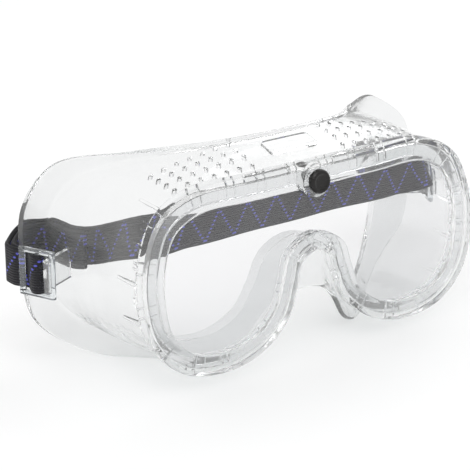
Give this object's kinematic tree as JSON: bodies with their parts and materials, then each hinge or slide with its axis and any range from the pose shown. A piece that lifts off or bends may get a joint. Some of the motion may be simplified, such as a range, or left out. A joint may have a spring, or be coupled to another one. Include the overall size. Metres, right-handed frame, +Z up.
{
  "type": "safety goggles",
  "caption": "Clear indirect-vent splash goggles: a soft moulded frame, a flat lens pinned by a black stud, side buckles on hooks and an elastic strap.",
  "frame": {"origin": "centre of the bounding box in plan, at the flat edge the goggles stand on", "axes": "+X to the wearer's left side, along the width; +Y from the lens to the wearer's face; +Z up"},
  "size_m": [0.1908, 0.0718, 0.083],
  "materials": {
    "clear_frame": "soft clear, smooth",
    "clear_lens": "polished clear",
    "black_stud": "glossy",
    "clear_buckle": "clear, smooth",
    "strap_webbing": "woven elastic, matt"
  },
  "bodies": {
    "goggles": {"frame_body": "clear_frame", "lens": "clear_lens", "strap": "strap_webbing", "strap_tail_right": "strap_webbing", "strap_tail_left": "strap_webbing"},
    "right_buckle": {"buckle_right": "clear_buckle", "strap_loop_right": "strap_webbing"},
    "left_buckle": {"buckle_left": "clear_buckle", "strap_loop_left": "strap_webbing"},
    "stud": {"lens_stud": "black_stud"}
  },
  "joints": [
    {"name": "right_buckle_swing", "type": "hinge", "parent": "goggles", "child": "right_buckle", "pos_m": [0.0886, 0.00447, 0.04], "axis": [0, 0, -1], "range_deg": [0, 35]},
    {"name": "left_buckle_swing", "type": "hinge", "parent": "goggles", "child": "left_buckle", "pos_m": [-0.0886, 0.00447, 0.04], "axis": [0, 0, 1], "range_deg": [0, 35]},
    {"name": "lens_stud_pull", "type": "slide", "parent": "goggles", "child": "stud", "axis": [0, -1, 0], "range_m": [0, 0.012]}
  ]
}
